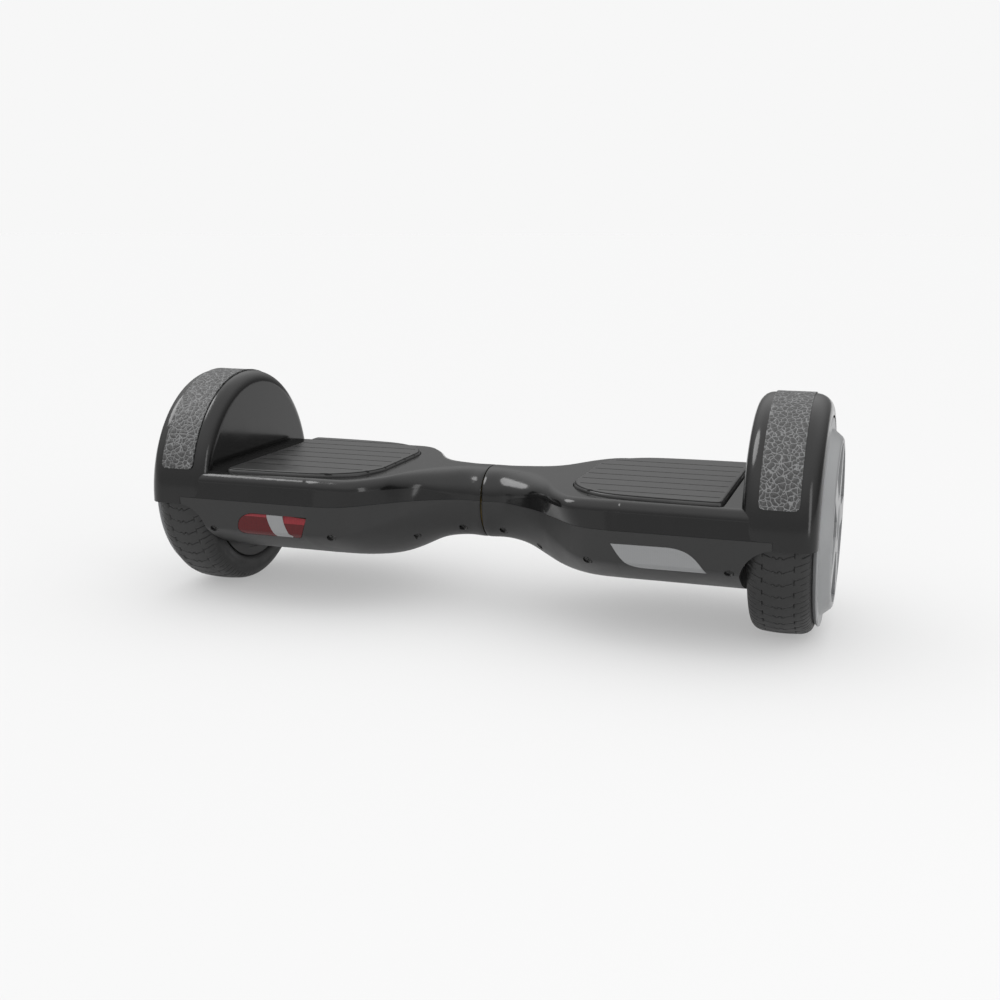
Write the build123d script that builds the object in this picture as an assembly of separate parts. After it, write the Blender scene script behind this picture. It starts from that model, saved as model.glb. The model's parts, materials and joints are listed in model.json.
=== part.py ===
from build123d import *
import math
import os

# Self balancing hoverboard. Millimetres. +X runs along the board to the right wheel,
# +Y to the back, +Z up; the origin is on the floor under the middle of the neck.

# ---- driving dimensions ----
WHEEL_R = 85.0
AXLE_Z = WHEEL_R
NECK_Z = 83.0
PARTING_Z = 88.3
PARTING_GAP = 0.1
SEAM_HALF = 0.5
WALL = 2.6
DECK_TOP = 108.8
DECK_HALF = 90.5
BELLY_Z = 34.0
DECK_START_X = 125.0
FENDER_IN_X = 209.0
FENDER_OUT_X = 262.0
FENDER_RISE = 94.6
FENDER_SKIRT_Z = 82.5
FENDER_STEP_X = 232.0
FENDER_IN_ROUND = 10.0
FENDER_OUT_ROUND = 13.0
WELL_IN_X = 211.4
WELL_OUT_X = 259.6
WELL_HALF = 88.0
WELL_RISE = 92.0
LIP_R = 79.0
BELLY_END_X = 210.0
INNER_END_X = 206.8
STRIP_IN_X = 221.0
STRIP_OUT_X = 248.8
STRIP_LOW_Z = 110.6
STRIP_PROUD = 1.0
STRIP_SUNK = 1.0
STRIP_CORNER = 4.0

TYRE_IN_X = 213.4
TYRE_OUT_X = 258.4
BEAD_R = 60.0
RIM_IN_X = 217.0
RIM_OUT_X = 255.0
RIM_INNER_R = 57.0
MAGNET_COUNT = 30
MAGNET_IN_R = 54.0
STATOR_TEETH = 27
STATOR_R = 53.2
STATOR_IN_X = 230.0
STATOR_OUT_X = 242.0
BEARING_R = 14.0
BEARING_W = 8.0
AXLE_R = 8.0
AXLE_TIP_R = 6.0
BORE_GAP = 0.03
HUB_R = 77.6
HUB_IN_X = 258.7
HUB_RING_X = 262.0
HUB_FACE_X = 270.0
HUB_RING_R = 69.5
HUB_FACE_R = 63.0
HUB_SPOKES = 5
HUB_SPOKE_HALF = 8.0

PAD_TOP = 112.0
PAD_BASE = 105.5
PAD_GAP = 0.6
PAD_SHOULDER = 3.4
GROOVE_PITCH = 19.7
GROOVE_FIRST_Y = -65.5
GROOVE_COUNT = 7
GROOVE_W = 1.3
GROOVE_DEEP = 1.6

TUBE_R = 14.0
TUBE_BORE_R = 11.0
TUBE_HALF = 52.0
BUSH_R = 16.5
COLLAR_R = 20.0
COLLAR_IN_X = 4.0
COLLAR_OUT_X = 48.0
PLATE_Z = 72.0
PLATE_T = 4.0
PLATE_HALF = 68.0

CELL_R = 9.2
CELL_LEN = 65.0
CELL_PITCH = 18.6
CELL_Z = 59.4
CELL_START_X = 74.0

LENS_GAP = 0.3
LENS_T = 2.4

SCREW_X = (17.0, 52.0, 102.0, 203.5)
NECK_SCREW_X = 60.0
SCREW_SHARE = 0.12
NECK_SCREW_SHARE = 0.5
BOSS_DEEP = 12.0
NECK_BOSS_DEEP = 6.8
BOSS_R = 5.4
SCREW_HEAD_R = 2.8
SCREW_HOLE_R = 3.6
SCREW_SINK = 3.4

CHARGE_X = 150.0
CHARGE_BORE_R = 6.5
SOCKET_R = 9.0
SOCKET_PIN_R = 0.8
SOCKET_PIN_RING_R = 2.6
INSERT_GAP = 0.05
CAP_R = 8.2
CAP_T = 0.6
CAP_PLUG_R = 5.6
CAP_CUP_R = 4.2
BUTTON_X = 185.0
BUTTON_R = 6.0
BEZEL_R = 7.9
CONTROL_BOARD_Z = 56.0
BOARD_T = 1.6
CAP_HINGE_X = CHARGE_X + 11.5
CAP_HINGE_Z = BELLY_Z - 1.5

# Stations along one half, from the neck seam to the full-width deck. Each holds x, half width at
# the parting plane, half width and height where the upper wall turns over, half width of the flat
# top, height of the top, and height of the belly.
STATIONS = (
    (SEAM_HALF, 27.8, 27.8, 90.3, 3.0, 111.3, 54.7),
    (15.0, 28.2, 28.0, 91.0, 4.0, 111.2, 54.8),
    (30.0, 34.0, 33.2, 93.5, 8.0, 110.9, 53.4),
    (43.0, 41.0, 39.0, 96.5, 16.0, 110.2, 48.9),
    (55.0, 49.5, 50.0, 98.8, 30.0, 109.7, 43.1),
    (65.0, 59.0, 64.0, 100.0, 50.0, 109.3, 39.0),
    (76.0, 69.5, 78.5, 100.6, 68.0, 109.0, 36.0),
    (88.0, 81.5, 87.2, 101.0, 79.0, DECK_TOP, 34.6),
    (104.0, 88.8, 88.5, 101.0, 80.5, DECK_TOP, BELLY_Z),
    (DECK_START_X, DECK_HALF, 88.5, 101.0, 80.5, DECK_TOP, BELLY_Z),
)
SECTION_COUNT = 15
ROUND_HANDLE = 0.5523

os.makedirs("parts", exist_ok=True)


def save(node, shape):
    export_step(shape, f"parts/{node}.step")


def half_turn(shape):
    """The same moulding on the other half of the board."""
    return shape.rotate(Axis.Z, 180)


def smooth(value):
    held = max(0.0, min(1.0, value))
    return held * held * (3 - 2 * held)


def box(x0, x1, y0, y1, z0, z1):
    return Pos((x0 + x1) / 2, (y0 + y1) / 2, (z0 + z1) / 2) * Box(x1 - x0, y1 - y0, z1 - z0)


def rod(x0, x1, radius, z=AXLE_Z, y=0.0):
    """A cylinder along X."""
    return Pos((x0 + x1) / 2, y, z) * Rot(0, 90, 0) * Cylinder(radius, x1 - x0)


def post(x, y, z0, z1, radius):
    """A cylinder along Z."""
    return Pos(x, y, (z0 + z1) / 2) * Cylinder(radius, z1 - z0)


def loop_face(edges):
    return Face(Wire(edges))


def shrunk(value, middle, half, gap):
    """A coordinate of an outline after the outline shrinks by gap on every side."""
    return middle + (value - middle) * (half - gap) / half


# ---- outline of the two shells, as sections across X ----
def end_slope(rise_before, rise_after):
    """Slope at a station that never overshoots its neighbours."""
    if rise_before * rise_after <= 0:
        return 0.0
    return 2 * rise_before * rise_after / (rise_before + rise_after)


def station_at(x):
    """The station values at any x, on smooth curves through the listed stations."""
    last = len(STATIONS) - 1
    index = max(i for i in range(last) if STATIONS[i][0] <= x or i == 0)
    low = STATIONS[index]
    high = STATIONS[index + 1]
    before = STATIONS[max(index - 1, 0)]
    after = STATIONS[min(index + 2, last)]
    span = high[0] - low[0]
    share = max(0.0, min(1.0, (x - low[0]) / span))
    values = [x]
    for key in range(1, len(low)):
        rise = (high[key] - low[key]) / span
        start = 0.0
        end = 0.0
        if index > 0:
            start = end_slope((low[key] - before[key]) / (low[0] - before[0]), rise)
        if index < last - 1:
            end = end_slope(rise, (after[key] - high[key]) / (after[0] - high[0]))
        ease = smooth(share)
        value = low[key] + (high[key] - low[key]) * ease
        value += span * start * share * (1 - share) ** 2
        value -= span * end * share**2 * (1 - share)
        values.append(value)
    return values


def upper_section(station, inset, x):
    low_w, wall_w, wall_z, top_w, top_z = station[1:6]
    low_w -= inset
    wall_w -= inset
    top_w = max(top_w - inset, 1.5)
    top_z -= inset
    wall_z -= inset / 2
    base = PARTING_Z + PARTING_GAP

    def corner(side):
        turn_z = wall_z + ROUND_HANDLE * (top_z - wall_z)
        turn_w = top_w + ROUND_HANDLE * (wall_w - top_w)
        return [
            (x, side * wall_w, wall_z),
            (x, side * wall_w, turn_z),
            (x, side * turn_w, top_z),
            (x, side * top_w, top_z),
        ]

    front = corner(-1)
    back = corner(1)
    return loop_face([
        Line((x, -low_w, base), front[0]),
        Bezier(*front),
        Line(front[3], back[3]),
        Bezier(*reversed(back)),
        Line(back[0], (x, low_w, base)),
        Line((x, low_w, base), (x, -low_w, base)),
    ])


def lower_corner(station, inset, side):
    """Bezier points (y, z) of the belly, from the foot of the wall to the flat bottom."""
    low_w = station[1] - inset
    deep = PARTING_Z - station[6] - inset
    share = smooth((station[0] - 20.0) / 80.0)

    def mix(neck, deck):
        return neck + (deck - neck) * share

    shape = (
        (mix(1.012, 0.981), mix(0.07, 0.41)),
        (mix(1.012, 0.981), mix(0.584, 0.521)),
        (mix(0.602, 0.608), mix(1.0, 0.889)),
        (mix(0.11, 0.155), 1.0),
    )
    return [(side * across * low_w, PARTING_Z - down * deep) for across, down in shape]


def lower_section(station, inset, x):
    low_w = station[1] - inset
    base = PARTING_Z - PARTING_GAP
    front = [(x, y, z) for y, z in lower_corner(station, inset, -1)]
    back = [(x, y, z) for y, z in lower_corner(station, inset, 1)]
    return loop_face([
        Line((x, -low_w, base), front[0]),
        Bezier(*front),
        Line(front[3], back[3]),
        Bezier(*reversed(back)),
        Line(back[0], (x, low_w, base)),
        Line((x, low_w, base), (x, -low_w, base)),
    ])


def half_body(section, inset, start_x, end_x):
    """The swept body of one half: a loft through the stations, then a straight deck."""
    faces = []
    step = (DECK_START_X - start_x) / (SECTION_COUNT - 1)
    for index in range(SECTION_COUNT):
        x = start_x + step * index
        faces.append(section(station_at(x), inset, x))
    waist = loft(faces)
    deck = extrude(faces[-1], end_x - DECK_START_X, dir=(1, 0, 0))
    return waist + deck


def belly_point(x, share):
    """A point (y, z) on the front of the belly and the outward normal there."""
    p0, p1, p2, p3 = [Vector(0, y, z) for y, z in lower_corner(station_at(x), 0.0, -1)]
    rest = 1 - share
    point = p0 * rest**3 + p1 * 3 * rest**2 * share + p2 * 3 * rest * share**2 + p3 * share**3
    along = (p1 - p0) * rest**2 + (p2 - p1) * 2 * rest * share + (p3 - p2) * share**2
    return point, Vector(0, along.Z, -along.Y).normalized()


# ---- fender ----
def arch_face(x, half, rise, foot_z):
    return loop_face([
        Line((x, half, foot_z), (x, half, AXLE_Z)),
        EllipticalCenterArc(
            (0, 0), half, rise, start_angle=0, arc_size=180
        ).moved(Location(Plane((x, 0, AXLE_Z), x_dir=(0, 1, 0), z_dir=(1, 0, 0)))),
        Line((x, -half, AXLE_Z), (x, -half, foot_z)),
        Line((x, -half, foot_z), (x, half, foot_z)),
    ])


def arch(x0, x1, half, rise, foot_z, round_in, round_out):
    """A hoop-shaped block along X, its inner and outer hoop edges rounded over."""
    block = extrude(arch_face(x0, half, rise, foot_z), x1 - x0, dir=(1, 0, 0))
    inner = [e for e in block.edges() if abs(e.center().X - x0) < 0.01 and e.center().Z > foot_z + 0.1]
    block = fillet(inner, round_in)
    outer = [e for e in block.edges() if abs(e.center().X - x1) < 0.01 and e.center().Z > foot_z + 0.1]
    return fillet(outer, round_out)


def fender_body():
    body = arch(FENDER_IN_X, FENDER_OUT_X, DECK_HALF, FENDER_RISE, FENDER_SKIRT_Z,
                FENDER_IN_ROUND, FENDER_OUT_ROUND)
    step = box(FENDER_IN_X - 1, FENDER_STEP_X + 0.2, -100, 100, 70, PARTING_Z + PARTING_GAP)
    return body - step


def wheel_well(foot_z):
    return arch(WELL_IN_X, WELL_OUT_X, WELL_HALF, WELL_RISE, foot_z, 7.5, 10.5)


def strip_band(proud):
    """The band over the fender crown that the strip fills, from its low ends over the top."""
    outer = arch_face(STRIP_IN_X, DECK_HALF + proud, FENDER_RISE + proud, 70)
    band = extrude(outer, STRIP_OUT_X - STRIP_IN_X, dir=(1, 0, 0))
    core = arch_face(STRIP_IN_X - 1, DECK_HALF - STRIP_SUNK, FENDER_RISE - STRIP_SUNK, 60)
    band = band - extrude(core, STRIP_OUT_X - STRIP_IN_X + 2, dir=(1, 0, 0))
    width = STRIP_OUT_X - STRIP_IN_X
    middle = (STRIP_IN_X + STRIP_OUT_X) / 2
    window = Pos(middle, 0, STRIP_LOW_Z + 50) * Rot(90, 0, 0) * extrude(
        RectangleRounded(width, 100, STRIP_CORNER), 110, both=True)
    return band & window


# ---- outlines of the lights, on the X-Z plane ----
def headlight_outline(gap=0.0):
    def at(x, z):
        return (shrunk(x, 153.5, 34.5, gap), 0, shrunk(z, 70.2, 9.1, gap))

    return loop_face([
        Line(at(119, 79), at(158, 79.3)),
        Bezier(at(158, 79.3), at(175, 79.4), at(180, 73), at(188, 61.4)),
        Line(at(188, 61.4), at(146, 61.1)),
        Bezier(at(146, 61.1), at(129, 61), at(126, 68), at(119, 79)),
    ])


def tail_light_outline(gap=0.0):
    """Written for the left front, so X is negative: a round outer end and a slanted inner end."""
    def at(x, z):
        return (shrunk(x, -151.5, 30.8, gap), 0, shrunk(z, 70.5, 9.1, gap))

    return loop_face([
        Line(at(-120.7, 79.1), at(-166, 79.6)),
        Bezier(at(-166, 79.6), at(-177, 79.4), at(-182.5, 73), at(-181.3, 66)),
        Bezier(at(-181.3, 66), at(-180.5, 62.4), at(-178, 61.4), at(-173, 61.4)),
        Line(at(-173, 61.4), at(-130, 61.4)),
        Bezier(at(-130, 61.4), at(-126.3, 61.6), at(-125.4, 64), at(-124.3, 67.6)),
        Line(at(-124.3, 67.6), at(-120.7, 79.1)),
    ])


def front_prism(outline):
    """The outline pushed along Y through the front wall only."""
    return extrude(outline.moved(Location((0, -40, 0))), 60, dir=(0, -1, 0))


# ---- foot pad plan, on the X-Y plane ----
def pad_plan(z, gap):
    def at(x, y):
        return (shrunk(x, 137.0, 60.0, gap), shrunk(y, 0.0, 80.0, gap), z)

    return loop_face([
        Line(at(77, -34), at(77, 34)),
        Bezier(at(77, 34), at(78, 50), at(92, 72), at(120, 76.5)),
        Bezier(at(120, 76.5), at(140, 79.2), at(165, 80), at(190, 80)),
        Bezier(at(190, 80), at(195, 80), at(197, 78), at(197, 73)),
        Line(at(197, 73), at(197, -73)),
        Bezier(at(197, -73), at(197, -78), at(195, -80), at(190, -80)),
        Bezier(at(190, -80), at(165, -80), at(140, -79.2), at(120, -76.5)),
        Bezier(at(120, -76.5), at(92, -72), at(78, -50), at(77, -34)),
    ])


def pad_prism(gap, z0, z1):
    return extrude(pad_plan(z0, gap), z1 - z0, dir=(0, 0, 1))


PRONG_SPOTS = ((128.0, -30.0), (128.0, 30.0))


def footpad():
    pad = pad_prism(PAD_GAP, PAD_BASE, PAD_TOP)
    rim = [e for e in pad.edges() if abs(e.center().Z - PAD_TOP) < 0.01]
    pad = fillet(rim, PAD_SHOULDER)
    top = pad_prism(PAD_GAP + PAD_SHOULDER + 0.6, PAD_TOP - GROOVE_DEEP, PAD_TOP + 1)
    for index in range(GROOVE_COUNT):
        y = GROOVE_FIRST_Y + GROOVE_PITCH * index
        groove = box(70, 200, y - GROOVE_W / 2, y + GROOVE_W / 2, PAD_TOP - GROOVE_DEEP, PAD_TOP + 1)
        pad = pad - (groove & top)
    for x, y in PRONG_SPOTS:
        pad = pad + post(x, y, PAD_BASE - 8, PAD_BASE + 1, 3.0)
    return pad


def pad_tray():
    tray = pad_prism(-4.0, 101.5, DECK_TOP - WALL)
    tray = tray - pad_prism(-0.3, 103.4, DECK_TOP)
    tray = tray & UPPER_INNER
    for x, y in PRONG_SPOTS:
        tray = tray - post(x, y, 100, 106, 3.8)
    return tray


def neck_panel(upper_outer):
    """The tongue-shaped panel let into the top of the neck, pointing outwards."""
    plan = loop_face([
        Line((SEAM_HALF, -24.5, 80), (SEAM_HALF, 24.5, 80)),
        Bezier((SEAM_HALF, 24.5, 80), (14, 22, 80), (31, 14, 80), (42, 2, 80)),
        Line((42, 2, 80), (42, -2, 80)),
        Bezier((42, -2, 80), (31, -14, 80), (14, -22, 80), (SEAM_HALF, -24.5, 80)),
    ])
    prism = extrude(plan, 50, dir=(0, 0, 1))
    skin = upper_outer - upper_outer.moved(Location((0, 0, -1.2)))
    return prism & skin & box(SEAM_HALF, 60, -40, 40, 92.5, 120)


# ---- shells of one half ----
UPPER_OUTER = half_body(upper_section, 0.0, SEAM_HALF, FENDER_IN_X + FENDER_IN_ROUND + 3)
UPPER_INNER = half_body(upper_section, WALL, SEAM_HALF + 3, INNER_END_X)
LOWER_OUTER = half_body(lower_section, 0.0, SEAM_HALF, FENDER_STEP_X)
LOWER_INNER = half_body(lower_section, WALL, SEAM_HALF + 3, INNER_END_X)
NECK_PANEL = neck_panel(UPPER_OUTER)
STRIP = strip_band(STRIP_PROUD)


def top_shell():
    shell = UPPER_OUTER + fender_body()
    shell = shell - UPPER_INNER
    shell = shell - wheel_well(60)
    shell = shell - rod(WELL_OUT_X - 1, FENDER_OUT_X + 1, LIP_R)
    shell = shell - rod(FENDER_IN_X - 10, WELL_IN_X + 1, 15.0)
    shell = shell - rod(0, 4, TUBE_R + 4, NECK_Z)
    shell = shell - strip_band(5.0)
    shell = shell - pad_prism(0.0, DECK_TOP - WALL - 1, DECK_TOP + 5)
    return shell - NECK_PANEL


def screw_frame(x, side):
    """Location on the belly with its Z axis pointing out of the shell."""
    share = NECK_SCREW_SHARE if x < NECK_SCREW_X else SCREW_SHARE
    point, normal = belly_point(x, share)
    place = Vector(x, point.Y * -side, point.Z)
    out = Vector(0, normal.Y * -side, normal.Z)
    return Plane(origin=place, x_dir=(1, 0, 0), z_dir=out).location


def screw_places():
    """Each shell screw: its location and how deep its boss goes, less at the slim neck."""
    places = []
    for x in SCREW_X:
        deep = NECK_BOSS_DEEP if x < NECK_SCREW_X else BOSS_DEEP
        for side in (-1, 1):
            places.append((screw_frame(x, side), deep))
    return places


def bottom_shell():
    shell = LOWER_OUTER
    wheel_cut = Pos(BELLY_END_X, 0, 0) * extrude(loop_face([
        Line((0, 0, 20), (0, 0, 61)),
        Bezier((0, 0, 61), (1.5, 0, 70), (8, 0, 80), (22.1, 0, 82.6)),
        Line((22.1, 0, 82.6), (40, 0, 82.6)),
        Line((40, 0, 82.6), (40, 0, 20)),
        Line((40, 0, 20), (0, 0, 20)),
    ]), 100, dir=(0, 1, 0), both=True)
    shell = shell - wheel_cut
    shell = shell - LOWER_INNER
    shell = shell - wheel_well(60)
    for frame, deep in screw_places():
        boss = frame * Pos(0, 0, -deep / 2) * Cylinder(BOSS_R, deep)
        shell = shell + (boss & LOWER_OUTER)
    for x, y in PLATE_POSTS:
        shell = shell + (post(x, y, 20, PLATE_Z, 4.5) & LOWER_OUTER)
    for frame, deep in screw_places():
        shell = shell - frame * Pos(0, 0, 2 - SCREW_SINK) * Cylinder(SCREW_HOLE_R, 4)
        shell = shell - frame * Pos(0, 0, -deep / 2 - 1) * Cylinder(1.45, deep)
    shell = shell - rod(INNER_END_X - 2, FENDER_STEP_X, 15.0)
    shell = shell - rod(0, 4, TUBE_R + 4, NECK_Z)
    shell = shell - front_prism(headlight_outline())
    return shell - half_turn(front_prism(tail_light_outline()))


PLATE_POSTS = ((84.0, -56.0), (84.0, 56.0), (150.0, -62.0), (150.0, 62.0), (196.0, -62.0), (196.0, 62.0))


def lens(outline, body, depth):
    """A lens that follows the wall of the belly, a little inside its window."""
    prism = front_prism(outline)
    return (prism & body) - body.moved(Location((0, depth, 0)))


def headlight_lens():
    return lens(headlight_outline(LENS_GAP), LOWER_OUTER, LENS_T)


def tail_light_lens():
    return half_turn(lens(tail_light_outline(LENS_GAP), half_turn(LOWER_OUTER), LENS_T))


def shell_screws():
    screws = []
    for frame, deep in screw_places():
        head = Pos(0, 0, -SCREW_SINK + 0.8) * Cylinder(SCREW_HEAD_R, 1.6)
        slot = Pos(0, 0, -SCREW_SINK + 1.6)
        screw = head - slot * Box(4.2, 0.9, 1.4) - slot * Box(0.9, 4.2, 1.4)
        reach = deep - SCREW_SINK - 0.4
        shank = Pos(0, 0, -SCREW_SINK - reach / 2) * Cylinder(1.4, reach)
        screws.append(frame * (screw + shank))
    return Compound(screws)


def light_boards():
    head_board = box(124, 182, -79, -77.4, 62, 78)
    tail_board = box(126, 178, 77.4, 79, 62, 78)
    boards = []
    for board, side in ((head_board, -1), (tail_board, 1)):
        for index in range(4):
            x = 134 + 12.5 * index
            lamp = box(x, x + 5, side * 79 - 0.9, side * 79 + 0.9, 67.5, 72.5)
            board = board + lamp
        boards.append(board)
    return Compound(boards)


def sensor_board():
    board = box(106, 160, -36, 36, 92, 93.6)
    for x, y in PRONG_SPOTS:
        board = board + box(x - 5, x + 5, y - 6.5, y - 4.2, 93, 99.5)
        board = board + box(x - 5, x + 5, y + 4.2, y + 6.5, 93, 99.5)
    return board + box(140, 148, -8, 8, 93, 96)


BOARD_POSTS = ((110.0, -32.0), (110.0, 32.0), (156.0, -32.0), (156.0, 32.0))


def chassis(tube_bore):
    plate = extrude(loop_face([
        Line((24, -20, PLATE_Z), (50, -24, PLATE_Z)),
        Line((50, -24, PLATE_Z), (88, -PLATE_HALF, PLATE_Z)),
        Line((88, -PLATE_HALF, PLATE_Z), (205, -PLATE_HALF, PLATE_Z)),
        Line((205, -PLATE_HALF, PLATE_Z), (205, PLATE_HALF, PLATE_Z)),
        Line((205, PLATE_HALF, PLATE_Z), (88, PLATE_HALF, PLATE_Z)),
        Line((88, PLATE_HALF, PLATE_Z), (50, 24, PLATE_Z)),
        Line((50, 24, PLATE_Z), (24, 20, PLATE_Z)),
        Line((24, 20, PLATE_Z), (24, -20, PLATE_Z)),
    ]), PLATE_T, dir=(0, 0, 1))
    frame = plate + rod(COLLAR_IN_X, COLLAR_OUT_X, COLLAR_R, NECK_Z)
    for side in (-1, 1):
        frame = frame + box(88, 205, side * 66 - 2, side * 66 + 2, PLATE_Z, 88)
        frame = frame + box(58, 186, side * 12 - 2, side * 12 + 2, PLATE_Z, 80)
    frame = frame + box(184, 205, -18, 18, PLATE_Z - 2, AXLE_Z)
    for x, y in BOARD_POSTS:
        frame = frame + post(x, y, PLATE_Z, 92, 2.8)
    frame = frame - rod(0, COLLAR_OUT_X + 1, tube_bore, NECK_Z)
    frame = frame - rod(COLLAR_OUT_X, TUBE_HALF + 2, TUBE_R + 3.2, NECK_Z)
    frame = frame - rod(180, 206, AXLE_R)
    for x, y in CLAMP_SPOTS:
        frame = frame - post(x, y, PLATE_Z + 1, AXLE_Z + 1, 2.5)
    return frame


CLAMP_SPOTS = ((189.5, -13.0), (189.5, 13.0), (199.5, -13.0), (199.5, 13.0))


def axle_clamp():
    clamp = box(184, 205, -18, 18, AXLE_Z, AXLE_Z + 12)
    clamp = clamp - rod(180, 206, AXLE_R)
    for x, y in CLAMP_SPOTS:
        clamp = clamp - post(x, y, 80, 100, 2.5)
    return clamp


def clamp_screws():
    screws = []
    for x, y in CLAMP_SPOTS:
        head = post(x, y, AXLE_Z + 12, AXLE_Z + 16, 4.2)
        socket = Pos(x, y, AXLE_Z + 15) * extrude(RegularPolygon(2.2, 6), 3)
        screws.append(head - socket + post(x, y, PLATE_Z + 2, AXLE_Z + 12, 2.4))
    return Compound(screws)


# ---- hub motor wheel ----
def turned(points):
    """A body of revolution about the axle from (x, radius) corners."""
    corners = [(x, 0, AXLE_Z + radius) for x, radius in points]
    edges = []
    for index, corner in enumerate(corners):
        edges.append(Line(corner, corners[(index + 1) % len(corners)]))
    return revolve(loop_face(edges), Axis((0, 0, AXLE_Z), (1, 0, 0)), 360)


def tyre():
    """Low tyre with a slightly crowned tread, round shoulders and bulged side walls."""
    mid = (TYRE_IN_X + TYRE_OUT_X) / 2
    top = AXLE_Z + WHEEL_R

    def up(x, radius):
        return (x, 0, AXLE_Z + radius)

    shoulder = 74.0
    face = loop_face([
        Line(up(RIM_IN_X, BEAD_R), up(RIM_IN_X, BEAD_R + 4.5)),
        Bezier(up(RIM_IN_X, BEAD_R + 4.5), up(TYRE_IN_X + 0.6, 66), up(TYRE_IN_X, 68), up(TYRE_IN_X, shoulder)),
        Bezier(up(TYRE_IN_X, shoulder), up(TYRE_IN_X, 81), up(TYRE_IN_X + 4, 84), up(TYRE_IN_X + 11, 84.4)),
        ThreePointArc(up(TYRE_IN_X + 11, 84.4), (mid, 0, top), up(TYRE_OUT_X - 11, 84.4)),
        Bezier(up(TYRE_OUT_X - 11, 84.4), up(TYRE_OUT_X - 4, 84), up(TYRE_OUT_X, 81), up(TYRE_OUT_X, shoulder)),
        Bezier(up(TYRE_OUT_X, shoulder), up(TYRE_OUT_X, 68), up(TYRE_OUT_X - 0.6, 66), up(RIM_OUT_X, BEAD_R + 4.5)),
        Line(up(RIM_OUT_X, BEAD_R + 4.5), up(RIM_OUT_X, BEAD_R)),
        Line(up(RIM_OUT_X, BEAD_R), up(RIM_IN_X, BEAD_R)),
    ])
    return revolve(face, Axis((0, 0, AXLE_Z), (1, 0, 0)), 360)


def motor_rim():
    """Rotor ring with tyre flanges and the outer bearing plate in one casting."""
    bore = AXLE_TIP_R + 1
    rim = turned([
        (RIM_IN_X - 2, RIM_INNER_R), (RIM_IN_X - 2, BEAD_R + 4), (RIM_IN_X, BEAD_R + 4),
        (RIM_IN_X, BEAD_R), (RIM_OUT_X, BEAD_R), (RIM_OUT_X, BEAD_R + 4),
        (RIM_OUT_X + 2, BEAD_R + 4), (RIM_OUT_X + 2, bore), (RIM_OUT_X - 1, bore),
        (RIM_OUT_X - 1, BEARING_R), (RIM_OUT_X - 1 - BEARING_W, BEARING_R),
        (RIM_OUT_X - 1 - BEARING_W, BEARING_R + 4), (RIM_OUT_X - 2, BEARING_R + 4),
        (RIM_OUT_X - 2, RIM_INNER_R),
    ])
    return rim


def motor_cover():
    """Inner end plate of the motor, with its bearing seat."""
    return turned([
        (RIM_IN_X - 1, AXLE_R + 1), (RIM_IN_X - 1, RIM_INNER_R), (RIM_IN_X + 2, RIM_INNER_R),
        (RIM_IN_X + 2, BEARING_R + 4), (RIM_IN_X + 2 + BEARING_W, BEARING_R + 4),
        (RIM_IN_X + 2 + BEARING_W, BEARING_R), (RIM_IN_X + 2, BEARING_R), (RIM_IN_X + 2, AXLE_R + 1),
    ])


def wheel_bearings():
    rings = []
    for x in (RIM_IN_X + 2, RIM_OUT_X - 1 - BEARING_W):
        rings.append(rod(x, x + BEARING_W, BEARING_R) - rod(x - 1, x + BEARING_W + 1, AXLE_TIP_R + BORE_GAP))
    return Compound(rings)


def magnets():
    blocks = []
    ring = rod(STATOR_IN_X - 2, STATOR_OUT_X + 2, RIM_INNER_R) - rod(220, 250, MAGNET_IN_R)
    pitch = 360.0 / MAGNET_COUNT
    width = 2 * MAGNET_IN_R * math.sin(math.radians(pitch / 2)) * 0.9
    block = ring & box(220, 250, -width / 2, width / 2, AXLE_Z + 50, AXLE_Z + 60)
    for index in range(MAGNET_COUNT):
        blocks.append(block.rotate(Axis((0, 0, AXLE_Z), (1, 0, 0)), pitch * index))
    return Compound(blocks)


def stator_core():
    core = rod(STATOR_IN_X, STATOR_OUT_X, 36.0)
    for index in range(STATOR_TEETH):
        angle = 360.0 / STATOR_TEETH * index
        tooth = box(STATOR_IN_X, STATOR_OUT_X, -1.8, 1.8, AXLE_Z + 35, AXLE_Z + STATOR_R - 1.5)
        shoe = box(STATOR_IN_X, STATOR_OUT_X, -5.0, 5.0, AXLE_Z + STATOR_R - 3, AXLE_Z + STATOR_R - 1)
        core = core + (tooth + shoe).rotate(Axis((0, 0, AXLE_Z), (1, 0, 0)), angle)
    core = core - rod(STATOR_IN_X - 1, STATOR_OUT_X + 1, AXLE_TIP_R)
    for index in range(6):
        hole = rod(STATOR_IN_X - 1, STATOR_OUT_X + 1, 7.0, AXLE_Z + 21)
        core = core - hole.rotate(Axis((0, 0, AXLE_Z), (1, 0, 0)), 60 * index)
    return core


def windings():
    coil = box(STATOR_IN_X - 1.6, STATOR_OUT_X + 1.6, -3.6, 3.6, AXLE_Z + 37, AXLE_Z + 49.5)
    coil = coil - box(STATOR_IN_X - 0.01, STATOR_OUT_X + 0.01, -1.85, 1.85, AXLE_Z + 36, AXLE_Z + 51)
    coils = []
    for index in range(STATOR_TEETH):
        angle = 360.0 / STATOR_TEETH * index
        coils.append(coil.rotate(Axis((0, 0, AXLE_Z), (1, 0, 0)), angle))
    return Compound(coils)


def axle():
    spindle = rod(186, RIM_IN_X + 1.5, AXLE_R) + rod(RIM_IN_X, RIM_OUT_X + 1, AXLE_TIP_R)
    return spindle - rod(180, 214, 3.0)


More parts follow.
